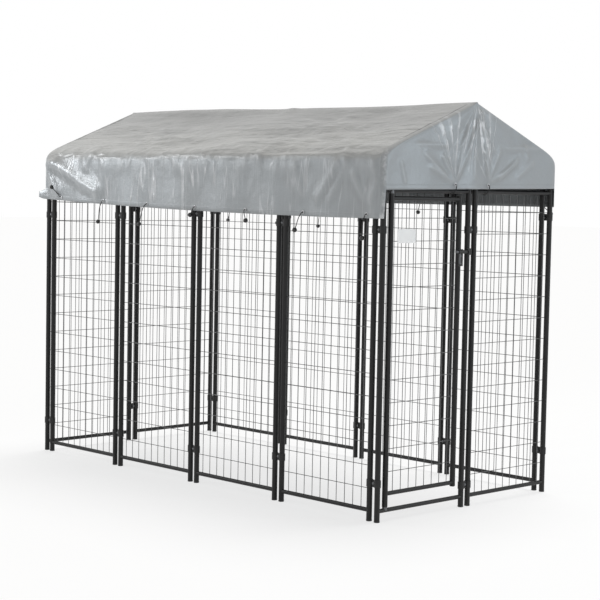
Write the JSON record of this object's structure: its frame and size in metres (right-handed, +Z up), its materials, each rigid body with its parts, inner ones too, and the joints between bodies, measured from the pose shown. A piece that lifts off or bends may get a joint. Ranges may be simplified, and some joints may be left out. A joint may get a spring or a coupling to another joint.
{
  "type": "outdoor dog kennel run",
  "caption": "Long outdoor pet run of clamped welded-wire tube panels with a pin-hung door, a slide bolt and a gable sheet canopy tied over a tube roof frame.",
  "frame": {"origin": "Centre of the footprint on the ground, under the canopy's middle", "axes": "+X along the run towards the door end, +Y to the right-hand long wall seen from inside facing the door's opposite wall, +Z up"},
  "size_m": [2.5216, 1.2528, 1.837],
  "materials": {
    "frame_coat": "satin",
    "wire_coat": "satin",
    "bracket_coat": "satin",
    "black_plastic": "matte",
    "zinc": "satin",
    "eyelet_metal": "satin",
    "sheet": "satin",
    "cord": "matte",
    "ball_plastic": "gloss"
  },
  "bodies": {
    "run": {"left_frame_1": "frame_coat", "left_frame_2": "frame_coat", "left_frame_3": "frame_coat", "left_frame_4": "frame_coat", "right_frame_1": "frame_coat", "right_frame_2": "frame_coat", "right_frame_3": "frame_coat", "right_frame_4": "frame_coat", "rear_frame_1": "frame_coat", "rear_frame_2": "frame_coat", "front_frame": "frame_coat", "door_surround": "frame_coat", "rafter_front_left": "frame_coat", "rafter_front_right": "frame_coat", "rafter_middle_left": "frame_coat", "rafter_middle_right": "frame_coat", "rafter_rear_left": "frame_coat", "rafter_rear_right": "frame_coat", "peak_front": "frame_coat", "peak_middle": "frame_coat", "peak_rear": "frame_coat", "ridge_pole_front": "frame_coat", "ridge_pole_rear": "frame_coat", "eave_pole_front_left": "frame_coat", "eave_pole_front_right": "frame_coat", "eave_pole_rear_left": "frame_coat", "eave_pole_rear_right": "frame_coat", "eave_elbows": "frame_coat", "roof_legs": "frame_coat", "left_mesh_1": "wire_coat", "left_mesh_2": "wire_coat", "left_mesh_3": "wire_coat", "left_mesh_4": "wire_coat", "right_mesh_1": "wire_coat", "right_mesh_2": "wire_coat", "right_mesh_3": "wire_coat", "right_mesh_4": "wire_coat", "rear_mesh_1": "wire_coat", "rear_mesh_2": "wire_coat", "front_mesh": "wire_coat", "foot_plugs": "black_plastic", "top_caps": "black_plastic", "latch_keeper": "bracket_coat", "clamp_outer_halves": "bracket_coat", "clamp_inner_halves": "bracket_coat", "hinge_pins": "zinc", "clamp_bolts": "zinc", "clamp_nuts": "zinc", "eyelets": "eyelet_metal", "canopy": "sheet", "tie_cords": "cord", "tie_balls": "ball_plastic"},
    "door": {"door_frame": "frame_coat", "door_mesh": "wire_coat", "door_end_plugs": "black_plastic", "hinge_bushes": "black_plastic", "latch_body": "bracket_coat", "latch_screws": "zinc"},
    "slide_bolt": {"latch_bolt": "zinc"}
  },
  "joints": [
    {"name": "door_swing", "type": "hinge", "parent": "run", "child": "door", "pos_m": [1.227, -0.531, 0.74], "axis": [0, 0, -1], "range_deg": [-90, 120]},
    {"name": "bolt_slide", "type": "slide", "parent": "door", "child": "slide_bolt", "axis": [0, 1, 0], "range_m": [0, 0.03]}
  ]
}
